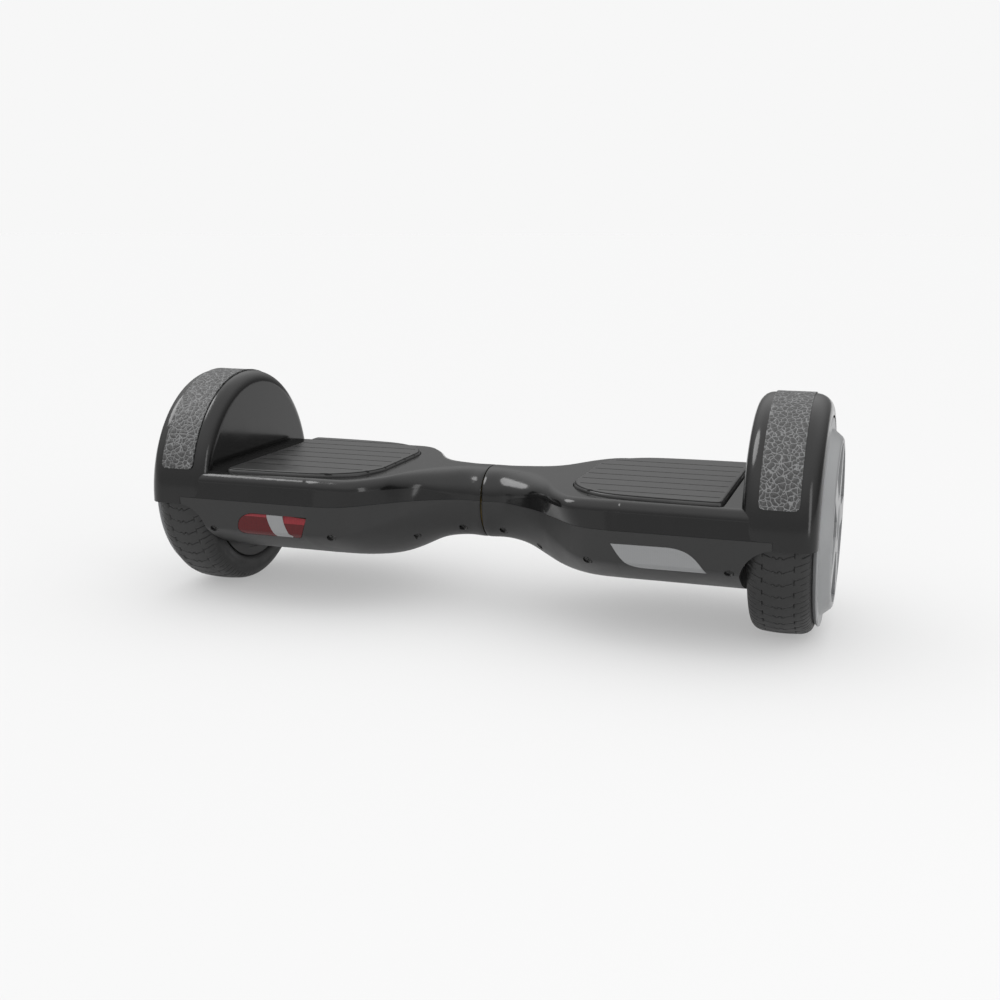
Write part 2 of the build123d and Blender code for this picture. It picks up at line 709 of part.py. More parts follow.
def hub_cover():
    """Dished plastic cover: flat ring, cone, raised face with broad spokes between windows."""
    skin = 2.6
    cover = turned([
        (HUB_IN_X, 0.0), (HUB_IN_X, HUB_R - 2.0), (HUB_IN_X + 2.2, HUB_R), (HUB_RING_X - 0.6, HUB_R),
        (HUB_RING_X, HUB_R - 0.6), (HUB_RING_X, HUB_RING_R), (HUB_FACE_X - 1.0, HUB_FACE_R + 0.6),
        (HUB_FACE_X, HUB_FACE_R - 1.0), (HUB_FACE_X, 14.0), (HUB_FACE_X - 1.2, 12.0), (HUB_FACE_X - 1.2, 0.0),
    ])
    pitch = 360.0 / HUB_SPOKES
    for index in range(HUB_SPOKES):
        angle = pitch * index + 90 - pitch
        ledge = hub_window(HUB_FACE_X - 2.6, HUB_SPOKE_HALF, 59.0)
        well = hub_window(HUB_IN_X + skin, HUB_SPOKE_HALF + 2.6, 56.4)
        cover = cover - (ledge + well).rotate(Axis((0, 0, AXLE_Z), (1, 0, 0)), angle)
    return cover


def hub_window(floor_x, spoke_half, outer_r):
    """A three-sided window between two spokes, centred above the axle, open outwards."""
    half_pitch = math.radians(180.0 / HUB_SPOKES)
    inner_r = spoke_half / math.sin(half_pitch) + 8.0
    blunt = (inner_r - spoke_half / math.sin(half_pitch)) * math.tan(half_pitch)
    side = half_pitch - math.asin(spoke_half / outer_r)
    across = outer_r * math.sin(side)
    up = outer_r * math.cos(side)

    def at(y, z):
        return (floor_x, y, AXLE_Z + z)

    return extrude(loop_face([
        Line(at(-blunt, inner_r), at(blunt, inner_r)),
        Line(at(blunt, inner_r), at(across, up)),
        ThreePointArc(at(across, up), at(0, outer_r), at(-across, up)),
        Line(at(-across, up), at(-blunt, inner_r)),
    ]), 20, dir=(1, 0, 0))


# ---- neck pivot ----
def pivot_tube():
    tube = rod(-TUBE_HALF, TUBE_HALF, TUBE_R, NECK_Z) - rod(-60, 60, TUBE_BORE_R, NECK_Z)
    groove = rod(COLLAR_OUT_X + 1, COLLAR_OUT_X + 2.2, TUBE_R + 1, NECK_Z)
    groove = groove - rod(40, 60, TUBE_R - 1, NECK_Z)
    return tube - groove


def retaining_ring():
    ring = rod(COLLAR_OUT_X + 1.05, COLLAR_OUT_X + 2.15, TUBE_R + 2.5, NECK_Z)
    ring = ring - rod(40, 60, TUBE_R - 1, NECK_Z)
    return ring - box(40, 60, -2.5, 2.5, NECK_Z + 5, NECK_Z + 30)


def pivot_bushes():
    bushes = []
    for x in (COLLAR_IN_X, COLLAR_OUT_X - 12):
        bushes.append(rod(x, x + 12, BUSH_R, NECK_Z) - rod(x - 1, x + 13, TUBE_R + BORE_GAP, NECK_Z))
    return Compound(bushes)


def neck_seal_ring():
    return rod(-SEAM_HALF + 0.02, SEAM_HALF - 0.15, 26.6, NECK_Z) - rod(-1, 1, 22.0, NECK_Z)


def link_cable():
    cable = rod(-68, 68, 3.5, NECK_Z)
    for side in (-1, 1):
        cable = cable + box(side * 68 - 5, side * 68 + 5, -6, 6, NECK_Z - 3.5, NECK_Z + 3.5)
    return cable


# ---- battery, in the left half ----
def battery_cells():
    cells = []
    for column in range(2):
        start = CELL_START_X + column * (CELL_LEN + 0.4)
        for row in range(-2, 3):
            cell = rod(start, start + CELL_LEN - 1, CELL_R, CELL_Z, row * CELL_PITCH)
            cells.append(cell + rod(start + CELL_LEN - 1, start + CELL_LEN, 3.0, CELL_Z, row * CELL_PITCH))
    return half_turn(Compound(cells))


def battery_sleeve():
    length = 2 * CELL_LEN + 0.4
    width = 4 * CELL_PITCH + 2 * CELL_R

    def slab(grow, x0, x1):
        profile = Plane((x0, 0, CELL_Z), x_dir=(0, 1, 0), z_dir=(1, 0, 0)) * RectangleRounded(
            width + 2 * grow, 2 * CELL_R + 2 * grow, CELL_R - 0.5 + grow)
        return extrude(profile, x1 - x0)

    sleeve = slab(0.8, CELL_START_X - 0.8, CELL_START_X + length + 0.8)
    return half_turn(sleeve - slab(0.05, CELL_START_X - 0.05, CELL_START_X + length + 0.05))


def battery_board():
    board = box(100, 160, 50, 51.2, 60, 71)
    return half_turn(board + box(118, 126, 51, 53, 62, 69) + box(134, 142, 51, 53, 62, 69))


# ---- electronics and charge port, in the right half ----
BOARD_FACE_Z = CONTROL_BOARD_Z + BOARD_T


def control_board():
    board = box(80, 200, -42, 42, CONTROL_BOARD_Z, BOARD_FACE_Z)
    board = board - post(CHARGE_X, 0, 50, 60, SOCKET_R + 1)
    return board - post(BUTTON_X, 0, 50, 60, SOCKET_R)


def board_parts():
    """Capacitors, transistor row and connectors on the control board."""
    parts = []
    for index in range(3):
        parts.append(post(96 + 14 * index, -28, BOARD_FACE_Z, 70, 5.5))
    for index in range(6):
        x = 90 + 16 * index
        parts.append(box(x, x + 10, 30, 34.5, BOARD_FACE_Z, 68))
    for index in range(4):
        x = 92 + 22 * index
        parts.append(box(x, x + 12, -40, -36, BOARD_FACE_Z, 64))
    parts.append(box(88, 182, 34.5, 40, BOARD_FACE_Z + 0.4, 71.5))
    return Compound(parts)


def charge_socket():
    body = post(CHARGE_X, 0, BELLY_Z + 0.2, 50, SOCKET_R)
    body = body - post(CHARGE_X, 0, BELLY_Z - 1, BELLY_Z + 6.2, CHARGE_BORE_R)
    body = body - post(CHARGE_X, 0, BELLY_Z, BELLY_Z + 13, CHARGE_BORE_R - 1.3)
    for index in range(3):
        angle = math.radians(90 + 120 * index)
        x = CHARGE_X + SOCKET_PIN_RING_R * math.cos(angle)
        y = SOCKET_PIN_RING_R * math.sin(angle)
        body = body + post(x, y, BELLY_Z + 7, BELLY_Z + 14, SOCKET_PIN_R)
    return body


def charge_cap():
    cap = post(CHARGE_X, 0, CAP_HINGE_Z - CAP_T, BELLY_Z - 0.1, CAP_R)
    cap = cap + post(CHARGE_X, 0, CAP_HINGE_Z, BELLY_Z + 3, CAP_PLUG_R)
    cap = cap - post(CHARGE_X, 0, BELLY_Z - 0.6, BELLY_Z + 4, CAP_CUP_R)
    cap = cap + box(CHARGE_X + 4, CAP_HINGE_X, -2.4, 2.4, CAP_HINGE_Z - CAP_T, CAP_HINGE_Z + CAP_T)
    barrel = Pos(CAP_HINGE_X, 0, CAP_HINGE_Z) * Rot(90, 0, 0) * Cylinder(1.2, 4.8)
    pull = box(CHARGE_X - 10.5, CHARGE_X - 7, -2.2, 2.2, CAP_HINGE_Z - CAP_T, CAP_HINGE_Z + CAP_T)
    return cap + barrel + pull


def button_bezel():
    bezel = post(BUTTON_X, 0, BELLY_Z - 0.6, BELLY_Z, SOCKET_R) + post(BUTTON_X, 0, BELLY_Z - 0.1, 46, BEZEL_R)
    bezel = bezel - post(BUTTON_X, 0, 30, 42.4, BUTTON_R + 0.2)
    return bezel


def power_button():
    button = post(BUTTON_X, 0, BELLY_Z - 0.2, BELLY_Z + 6.4, BUTTON_R)
    rim = [e for e in button.edges() if abs(e.center().Z - BELLY_Z + 0.2) < 0.01]
    return fillet(rim, 0.5)


def right_bottom_shell(shell):
    shell = shell - post(CHARGE_X, 0, 30, 40, SOCKET_R + INSERT_GAP)
    return shell - post(BUTTON_X, 0, 30, 40, BEZEL_R + INSERT_GAP)


# ---- write one file per node ----
BOTTOM = bottom_shell()
SAME_ON_BOTH = {
    "top_shell": top_shell(),
    "fender_strip": STRIP,
    "headlight_lens": headlight_lens(),
    "tail_light_lens": tail_light_lens(),
    "light_boards": light_boards(),
    "neck_panel": NECK_PANEL,
    "shell_screws": shell_screws(),
    "pad_tray": pad_tray(),
    "footpad": footpad(),
    "sensor_board": sensor_board(),
    "axle_clamp": axle_clamp(),
    "clamp_screws": clamp_screws(),
    "axle": axle(),
    "stator_core": stator_core(),
    "windings": windings(),
    "tyre": tyre(),
    "motor_rim": motor_rim(),
    "motor_cover": motor_cover(),
    "wheel_bearings": wheel_bearings(),
    "magnets": magnets(),
    "hub_cover": hub_cover(),
}
for name, shape in SAME_ON_BOTH.items():
    save(name + "_right", shape)
    save(name + "_left", half_turn(shape))
save("bottom_shell_right", right_bottom_shell(BOTTOM))
save("bottom_shell_left", half_turn(BOTTOM))
save("chassis_right", chassis(BUSH_R))
save("chassis_left", half_turn(chassis(TUBE_R)))
save("pivot_tube", pivot_tube())
save("retaining_ring", retaining_ring())
save("pivot_bushes", pivot_bushes())
save("neck_seal_ring", neck_seal_ring())
save("link_cable", link_cable())
save("battery_cells", battery_cells())
save("battery_sleeve", battery_sleeve())
save("battery_board", battery_board())
save("control_board", control_board())
save("board_parts", board_parts())
save("charge_socket", charge_socket())
save("charge_cap", charge_cap())
save("button_bezel", button_bezel())
save("power_button", power_button())
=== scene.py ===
import bpy
import bmesh
import json
import math
import numpy as np
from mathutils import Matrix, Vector
from mathutils.bvhtree import BVHTree


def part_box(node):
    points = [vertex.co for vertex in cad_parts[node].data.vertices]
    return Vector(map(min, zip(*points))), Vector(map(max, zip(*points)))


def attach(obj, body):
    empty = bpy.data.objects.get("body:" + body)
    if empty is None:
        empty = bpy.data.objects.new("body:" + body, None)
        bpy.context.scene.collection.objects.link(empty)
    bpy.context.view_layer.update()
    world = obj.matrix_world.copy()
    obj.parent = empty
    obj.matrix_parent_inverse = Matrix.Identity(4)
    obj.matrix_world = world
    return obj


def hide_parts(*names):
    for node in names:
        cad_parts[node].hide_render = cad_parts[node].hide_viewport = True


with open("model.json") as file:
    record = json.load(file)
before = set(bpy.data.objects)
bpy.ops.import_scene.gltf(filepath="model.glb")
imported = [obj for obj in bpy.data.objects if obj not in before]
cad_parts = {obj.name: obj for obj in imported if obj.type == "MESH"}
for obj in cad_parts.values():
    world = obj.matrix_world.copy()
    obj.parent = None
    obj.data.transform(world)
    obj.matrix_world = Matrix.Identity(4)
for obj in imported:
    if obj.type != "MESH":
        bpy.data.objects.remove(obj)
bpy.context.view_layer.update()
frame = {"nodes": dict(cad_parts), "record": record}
SIDES = ("left", "right")
MM = 0.001

# ---- studio: the camera is fitted to the photo, the brightness to its backdrop ----
CAMERA_AT = Vector((0.3141, -0.9146, 0.2970))
CAMERA_TARGET = Vector((0.0061, 0.0017, 0.0832))
LENS_MM = 44.2
BACKDROP = 0.93  # what the camera sees past the object
FLOOR_TONE = 0.46
FLOOR_GLOW = 0.22
FLOOR_HALF = 60.0
SKY_LOW = 0.33  # what lights the object: near the horizon behind it,
SKY_FRONT = 0.88  # near the horizon on the camera's side,
SKY_HIGH = 1.9  # and overhead
SKY_FROM = 0.05  # heights in a direction between which the sky brightens
SKY_TO = 0.9
SKY_TURN = 0.3  # half the width of the change from front to back
KEY_TOWARDS = (0.62, 0.03, -0.72)
KEY_STRENGTH = 1.25
KEY_ANGLE = math.radians(30)
PANEL_AT = (1.6, -0.9, 0.45)
PANEL_TOWARDS = (-0.86, 0.48, -0.12)
PANEL_STRENGTH = 4.0
PANEL_SIZE = (0.4, 1.1)

# ---- tyre section, in millimetres ----
BEAD_DROP = 25.0  # the bead's depth under the crown
BEAD_HALF = 18.9
CROWN_INSET = 11.0  # from the widest point in to where the crown starts
CROWN_DROP = 0.6  # how far the crown falls by there
CROWN_X = (11.5, 11.2, 10.9, 10.3, 10.0, 9.0, 7.6, 6.2, 5.0, 4.5, 4.2, 3.5, 2.8, 2.1, 1.4, 0.7)
TREAD_FLOOR = 9.0  # the grooves fade in from this far under the crown
TREAD_FADE = 3.0
RIDGE_DEPTH = 0.45  # the line moulded into the sidewall
RIDGE_FROM = 11.2
RIDGE_TO = 10.0
SHEAR_FROM_R = 60.0  # the tread's slope fades in over these radii
SHEAR_FADE = 14.0

# ---- tread, in millimetres ----
TREAD_PITCHES = 50
TREAD_SLOPE = 0.42
TREAD_DEPTH = 1.5
TREAD_HALF = 21.2
GROOVE_HALF = 0.38
GROOVE_EDGE = 0.2
GROOVE_FOOT = GROOVE_HALF - GROOVE_EDGE / 2
GROOVE_LIP = GROOVE_HALF + GROOVE_EDGE / 2
GROOVE_STEP = 1.6  # how far a groove jumps round the tyre at its kink
CENTRE_ZONE = 4.4
CENTRE_WAVE = 0.9
KINK_AT = 10.6
KINK_OVER = 1.3
KINK_MIDDLE = 0.2
SHOULDER_FROM = 15.4
LAND_ROWS = (3.0, 4.2, 5.4)  # rows of points on the tread face between grooves

# ---- painted shade in the foot pad's grooves and round its rim, in metres ----
RIB_FIRST = -0.0655
RIB_PITCH = 0.0197
GROOVE_SHADE_SHARE = (0.045, 0.06)  # half width of the painted shade line in a groove, as a share of the pitch
GROOVE_SHADE_Z = (0.1101, 0.1117)
RIM_SHADE_Z = (0.1108, 0.1115)
LINE_SOFT = 0.0001

# ---- tail light, in metres ----
BEVEL_OUTER_Z = 0.0771
BEVEL_INNER_Z = 0.0733
BEVEL_OUTER_SINK = 0.0009
BEVEL_INNER_SINK = 0.0016
BAND_IN_X = -0.1552
BAND_OUT_X = -0.1415
BAND_IN_LEAN = 0.0072
BAND_OUT_LEAN = 0.0066
BAND_CURVE = 1.75
BAND_PROUD = 0.0002
FLICK = 0.0026  # the pale band's small point near its foot
FLICK_AT = 0.93
FLICK_HALF = 0.07
COVER_T = 0.0019
COVER_TRIM = (0.00005, 0.0003)  # left off the CAD cover's foot and top
SCAN_STEP = 0.0001
RAY_FROM_Y = -0.2
COVER_COLUMNS = 17
BAND_ROWS = 25
FACE_ROWS = 15
BEVEL_ROWS = 6
SHARP_ANGLE = math.radians(12)


# ---- material helpers ----
class Nodes:
    """A material under construction: adds nodes and links them."""

    def __init__(self, name):
        self.material = bpy.data.materials.new(name)
        self.material.use_nodes = True
        self.tree = self.material.node_tree
        self.shader = self.tree.nodes["Principled BSDF"]
        self.coords = self.tree.nodes.new("ShaderNodeTexCoord").outputs["Object"]

    def set(self, **values):
        for key, value in values.items():
            self.feed(self.shader, key.replace("_", " "), value)

    def node(self, kind, **settings):
        made = self.tree.nodes.new(kind)
        for key, value in settings.items():
            setattr(made, key, value)
        return made

    def feed(self, made, key, value):
        self.feed_socket(made.inputs[key], value)

    def feed_socket(self, socket, value):
        if isinstance(value, bpy.types.NodeSocket):
            self.tree.links.new(value, socket)
        else:
            socket.default_value = value

    @staticmethod
    def coloured(sockets, name):
        """The colour socket of a mix node, among those of other types with the same name."""
        return next(s for s in sockets if s.name == name and s.type == "RGBA")

    def noise(self, scale, detail=3.0, rough=0.55, at=None, output="Fac"):
        made = self.node("ShaderNodeTexNoise")
        self.feed(made, "Vector", at or self.coords)
        self.feed(made, "Scale", scale)
        self.feed(made, "Detail", detail)
        self.feed(made, "Roughness", rough)
        return made.outputs[output]

    def cells(self, scale, feature="DISTANCE_TO_EDGE", at=None, output="Distance"):
        made = self.node("ShaderNodeTexVoronoi", feature=feature)
        self.feed(made, "Vector", at or self.coords)
        self.feed(made, "Scale", scale)
        return made.outputs[output]

    def remap(self, value, low, high, to_low, to_high, smooth=False):
        made = self.node("ShaderNodeMapRange", clamp=True)
        if smooth:
            made.interpolation_type = "SMOOTHSTEP"
        for key, item in (("Value", value), ("From Min", low), ("From Max", high),
                          ("To Min", to_low), ("To Max", to_high)):
            self.feed(made, key, item)
        return made.outputs["Result"]

    def maths(self, kind, first, second=0.0):
        made = self.node("ShaderNodeMath", operation=kind)
        self.feed(made, 0, first)
        self.feed(made, 1, second)
        return made.outputs[0]

    def vector(self, kind, first, second):
        made = self.node("ShaderNodeVectorMath", operation=kind)
        self.feed(made, 0, first)
        self.feed(made, 1, second)
        return made.outputs["Vector"]

    def scaled(self, vector, factor):
        made = self.node("ShaderNodeVectorMath", operation="SCALE")
        self.feed(made, 0, vector)
        self.feed(made, "Scale", factor)
        return made.outputs["Vector"]

    def axes(self):
        made = self.node("ShaderNodeSeparateXYZ")
        self.feed(made, 0, self.coords)
        return made.outputs

    def mix(self, share, first, second):
        made = self.node("ShaderNodeMix", data_type="RGBA")
        self.feed(made, "Factor", share)
        for key, value in (("A", first), ("B", second)):
            self.feed_socket(self.coloured(made.inputs, key), value)
        return self.coloured(made.outputs, "Result")

    def bump(self, height, strength, distance, under=None):
        made = self.node("ShaderNodeBump")
        self.feed(made, "Height", height)
        self.feed(made, "Strength", strength)
        self.feed(made, "Distance", distance)
        if under is not None:
            self.feed(made, "Normal", under)
        return made.outputs["Normal"]


def grey(value, tint=0.0):
    """A grey, turned towards blue by a positive tint."""
    return (value * (1 - tint), value, value * (1 + tint), 1.0)


def toned(colour, factor):
    """A lighter or darker version of a colour."""
    return tuple(min(1.0, c * factor) for c in colour[:3]) + (1.0,)


# ---- materials ----
def plain(name, colour, rough, metal=0.0, grain=900.0, grain_depth=0.00002, tone=0.12,
          **extra):
    """A moulded, cast or machined surface: fine grain, slight tone and gloss variation."""
    made = Nodes(name)
    patches = made.noise(18.0, 4.0)
    fine = made.noise(grain, 2.0)
    made.set(Base_Color=made.mix(patches, toned(colour, 1 - tone), toned(colour, 1 + tone)))
    made.set(Roughness=made.remap(fine, 0.3, 0.7, rough * 0.9, min(1.0, rough * 1.12)))
    made.set(Metallic=metal)
    made.set(Normal=made.bump(fine, 0.35, grain_depth))
    made.set(**extra)
    return made.material


def gloss_shell():
    """Moulded gloss black: faint orange peel, smudges, hair scratches and specks of dust."""
    made = Nodes("gloss_shell")
    peel = made.noise(260.0, 2.0, 0.4)
    smudge = made.remap(made.noise(24.0, 5.0, 0.62), 0.42, 0.72, 0.0, 1.0, smooth=True)
    stretched = made.vector("MULTIPLY", made.coords, (60.0, 900.0, 420.0))
    scratch = made.remap(made.noise(1.0, 3.0, 0.7, at=stretched), 0.62, 0.72, 0.0, 1.0)
    dust = made.remap(made.cells(950.0, "F1"), 0.035, 0.07, 1.0, 0.0)
    dusty = made.maths("MULTIPLY", dust, made.remap(made.noise(40.0, 3.0), 0.55, 0.7, 0.0, 0.55))
    made.set(Base_Color=made.mix(dusty, grey(0.0062), grey(0.06)))
    rough = made.maths("ADD", made.remap(smudge, 0.0, 1.0, 0.13, 0.2),
                       made.maths("MULTIPLY", scratch, 0.05))
    made.set(Roughness=rough)
    lumps = made.bump(peel, 0.28, 0.000012)
    made.set(Normal=made.bump(scratch, 0.05, -0.000004, lumps))
    made.set(IOR=1.42)
    return made.material


def satin_shell():
    """Spark-eroded mould texture: fine even grain, rubbed smoother in patches."""
    made = Nodes("satin_shell")
    grain = made.cells(1500.0, "SMOOTH_F1")
    fine = made.noise(3600.0, 2.0)
    rubbed = made.remap(made.noise(16.0, 5.0, 0.6), 0.45, 0.75, 0.0, 1.0, smooth=True)
    made.set(Base_Color=made.mix(fine, grey(0.0085), grey(0.015)))
    made.set(Roughness=made.remap(rubbed, 0.0, 1.0, 0.46, 0.36))
    rough_skin = made.bump(grain, 0.5, 0.00003)
    made.set(Normal=made.bump(fine, 0.3, 0.00001, rough_skin))
    return made.material


def textured_strip():
    """Cast leather pattern: dark pebbles of mixed size with worn, lighter channels between them."""
    made = Nodes("textured_strip")
    sway = made.noise(170.0, 2.0, 0.5, output="Color")
    shift = made.scaled(made.vector("SUBTRACT", sway, (0.5, 0.5, 0.5)), 0.0042)
    bent = made.vector("ADD", made.coords, shift)
    large = made.cells(248.0, at=bent)
    small = made.cells(540.0, at=bent)
    reach = made.remap(made.noise(120.0, 3.0), 0.3, 0.7, 0.045, 0.095)
    veins = made.remap(large, made.maths("MULTIPLY", reach, 0.35), reach, 1.0, 0.0, smooth=True)
    hair = made.maths("MULTIPLY", made.remap(small, 0.01, 0.07, 1.0, 0.0, smooth=True), 0.3)
    lines = made.maths("MAXIMUM", veins, hair)
    speckle = made.noise(1900.0, 2.0)
    pebble = made.mix(speckle, grey(0.016), grey(0.034))
    made.set(Base_Color=made.mix(lines, pebble, grey(0.165, 0.01)))
    made.set(Roughness=made.remap(lines, 0.0, 1.0, 0.5, 0.72))
    dome = made.remap(large, 0.0, 0.42, 0.0, 1.0, smooth=True)
    height = made.maths("SUBTRACT", dome, made.maths("MULTIPLY", hair, 0.35))
    skin = made.bump(height, 0.85, 0.0004)
    made.set(Normal=made.bump(speckle, 0.25, 0.00004, skin))
    return made.material


def between(made, value, limits, soft):
    """1 where a value lies between two limits, with a soft change at both."""
    low, high = limits
    rise = made.remap(made.maths("SUBTRACT", value, low), -soft, soft, 0.0, 1.0)
    fall = made.remap(made.maths("SUBTRACT", high, value), -soft, soft, 0.0, 1.0)
    return made.maths("MULTIPLY", rise, fall)


def pad_rubber():
    """Moulded rubber: pebbled, scuffed skin, with painted shade in the grooves and under the rim.
    """
    made = Nodes("pad_rubber")
    pebble = made.cells(1250.0, "SMOOTH_F1")
    scuff = made.remap(made.noise(30.0, 5.0, 0.65), 0.4, 0.75, 0.0, 1.0, smooth=True)
    axes = made.axes()
    rows = made.maths("MULTIPLY", axes["Y"], made.maths("SIGN", axes["X"]))
    turn = made.maths("DIVIDE", made.maths("SUBTRACT", rows, RIB_FIRST), RIB_PITCH)
    off = made.maths("ABSOLUTE", made.maths("SUBTRACT", turn, made.maths("ROUND", turn)))
    groove_shade = made.remap(off, *GROOVE_SHADE_SHARE, 1.0, 0.0)
    # painted shade: near-black lines along the grooves and round the rim, where shade falls
    low = made.maths("MULTIPLY", groove_shade, between(made, axes["Z"], GROOVE_SHADE_Z, LINE_SOFT))
    low = made.maths("MAXIMUM", low, between(made, axes["Z"], RIM_SHADE_Z, LINE_SOFT))
    skin = made.mix(scuff, grey(0.018), grey(0.03))
    # the skin turns near-black where low marks the painted shade
    made.set(Base_Color=made.mix(low, skin, grey(0.0005)))
    made.set(Roughness=made.maths("MAXIMUM", made.remap(scuff, 0.0, 1.0, 0.34, 0.5), low))
    made.set(Normal=made.bump(pebble, 0.3, 0.00003))
    return made.material


def tyre_rubber():
    """Cured rubber: fine grain, with paler scuffed patches."""
    made = Nodes("tyre")
    fine = made.noise(2300.0, 3.0, 0.6)
    scuff = made.remap(made.noise(90.0, 5.0, 0.7), 0.4, 0.8, 0.0, 1.0, smooth=True)
    made.set(Base_Color=made.mix(scuff, grey(0.0105), grey(0.021)))
    made.set(Roughness=made.remap(scuff, 0.0, 1.0, 0.5, 0.68))
    made.set(Normal=made.bump(fine, 0.4, 0.00004))
    return made.material


def pale_lens():
    """Frosted pale cover: fine diffuser ribs under a smooth face, slight haze."""
    made = Nodes("pale_lens")
    across = made.axes()["X"]
    rib = made.maths("SINE", made.maths("MULTIPLY", across, 2 * math.pi / 0.0016))
    haze = made.noise(55.0, 4.0)
    base = made.mix(haze, grey(0.205, 0.015), grey(0.225, 0.015))
    made.set(Base_Color=made.mix(made.remap(rib, -1.0, 1.0, 0.0, 0.35), base, grey(0.235, 0.02)))
    made.set(Roughness=made.remap(haze, 0.3, 0.7, 0.3, 0.4))
    made.set(Normal=made.bump(rib, 0.05, 0.00004))
    made.set(Coat_Weight=0.25, Coat_Roughness=0.15)
    return made.material


def red_lens(name, deep, light):
    """Red lamp cover: mottled colour over fine upright optic ribs."""
    made = Nodes(name)
    optic = made.maths("SINE", made.maths("MULTIPLY", made.axes()["X"], 2 * math.pi / 0.0022))
    tint = made.mix(made.noise(420.0, 3.0), deep, light)
    share = made.remap(optic, -1.0, 1.0, 0.0, 0.3)
    made.set(Base_Color=made.mix(share, tint, toned(deep, 0.75)))
    made.set(Roughness=made.remap(made.noise(60.0), 0.3, 0.7, 0.18, 0.26))
    made.set(Specular_IOR_Level=0.28)
    made.set(Normal=made.bump(optic, 0.06, 0.00004))
    return made.material


def hub_plastic():
    """Silver-grey painted plastic: fine metallic flake, a soft satin and slight brake dust."""
    made = Nodes("grey_plastic")
    flake = made.cells(5200.0, "F1", output="Color")
    lift = made.remap(flake, 0.0, 1.0, 0.85, 1.2)
    dirt = made.remap(made.noise(35.0, 5.0, 0.65), 0.45, 0.8, 0.0, 0.35, smooth=True)
    tinted = made.mix(dirt, grey(0.27, 0.015), grey(0.17, -0.01))
    glint = made.maths("MULTIPLY", lift, 0.35)
    made.set(Base_Color=made.mix(glint, tinted, grey(0.3, 0.015)))
    made.set(Metallic=0.35, Roughness=made.remap(dirt, 0.0, 0.35, 0.36, 0.48))
    made.set(Normal=made.bump(made.noise(2600.0, 2.0), 0.2, 0.00002))
    return made.material


def brushed(name, colour, rough, along):
    """Machined metal with fine tool lines, closest together along the axis scaled most."""
    made = Nodes(name)
    lined = made.noise(1.0, 3.0, at=made.vector("MULTIPLY", made.coords, along))
    patches = made.noise(30.0, 4.0)
    made.set(Base_Color=made.mix(patches, toned(colour, 0.85), toned(colour, 1.1)))
    made.set(Metallic=1.0, Roughness=made.remap(lined, 0.3, 0.7, rough * 0.8, rough * 1.25))
    made.set(Normal=made.bump(lined, 0.2, 0.00002))
    return made.material


def circuit_board():
    """Green solder mask in two close tones, with lighter runs between the fields."""
    made = Nodes("circuit_board")
    scaled = made.vector("MULTIPLY", made.coords, (260.0, 260.0, 260.0))
    runs = made.node("ShaderNodeTexBrick")
    made.feed(runs, "Vector", scaled)
    made.feed(runs, "Color1", (0.014, 0.12, 0.05, 1.0))
    made.feed(runs, "Color2", (0.02, 0.15, 0.065, 1.0))
    made.feed(runs, "Mortar", (0.03, 0.22, 0.09, 1.0))
    made.feed(runs, "Mortar Size", 0.03)
    made.set(Base_Color=runs.outputs["Color"])
    made.set(Roughness=made.remap(made.noise(300.0), 0.3, 0.7, 0.3, 0.42))
    made.set(Normal=made.bump(runs.outputs["Fac"], 0.3, 0.00003))
    return made.material


MATERIALS = {
    "gloss_shell": gloss_shell(),
    "satin_shell": satin_shell(),
    "textured_strip": textured_strip(),
    "pale_lens": pale_lens(),
    "red_lens": red_lens("red_lens", (0.062, 0.0035, 0.0045, 1.0),
                         (0.098, 0.007, 0.009, 1.0)),
    # the bevel's red is a lighter copy of the lens red: painted light on the upward face
    "red_bevel_painted_light": red_lens("red_bevel_painted_light", (0.17, 0.017, 0.022, 1.0),
                          (0.23, 0.026, 0.033, 1.0)),
    "circuit_board": circuit_board(),
    "black_plastic": plain("black_plastic", grey(0.012), 0.45),
    "cast_aluminium": plain("cast_aluminium", grey(0.5, 0.01), 0.45, metal=1.0, grain=1500.0),
    "steel": brushed("steel", grey(0.5), 0.3, (2200.0, 60.0, 60.0)),
    "laminations": brushed("laminations", grey(0.25), 0.5, (2000.0, 20.0, 20.0)),
    "copper": brushed("copper", (0.7, 0.28, 0.12, 1.0), 0.3, (900.0, 1600.0, 1600.0)),
    "tyre": tyre_rubber(),
    "magnet": plain("magnet", grey(0.5), 0.25, metal=1.0),
    "grey_plastic": hub_plastic(),
    "pad_rubber": pad_rubber(),
    "battery_cell": plain("battery_cell", (0.05, 0.25, 0.4, 1.0), 0.35),
    "battery_sleeve": plain("battery_sleeve", (0.02, 0.06, 0.3, 1.0), 0.25),
    "gold_ring": brushed("gold_ring", (0.20, 0.14, 0.035, 1.0), 0.4, (40.0, 900.0, 900.0)),
    "cable_rubber": plain("cable_rubber", grey(0.02), 0.6),
    "brass": brushed("brass", (0.6, 0.42, 0.16, 1.0), 0.3, (1500.0, 40.0, 40.0)),
    "board_parts": plain("board_parts", grey(0.05), 0.4),
    "black_metal": plain("black_metal", grey(0.02), 0.55, grain=1400.0, grain_depth=0.00003),
}
for part in frame["record"]["subparts"]:
    shown = frame["nodes"][part["node"]]
    shown.data.materials.clear()
    shown.data.materials.append(MATERIALS[part["material_slot"]])


def place(name, data):
    """A new object in the scene."""
    made = bpy.data.objects.new(name, data)
    bpy.context.scene.collection.objects.link(made)
    return made


# ---- tyres with their tread ----
def bezier(points, count):
    """Points along a cubic from its four controls, without the last one."""
    share = np.linspace(0.0, 1.0, count, endpoint=False)[:, None]
    a, b, c, d = (np.array(p, float) for p in points)
    rest = 1 - share
    return a * rest**3 + 3 * b * rest**2 * share + 3 * c * rest * share**2 + d * share**3


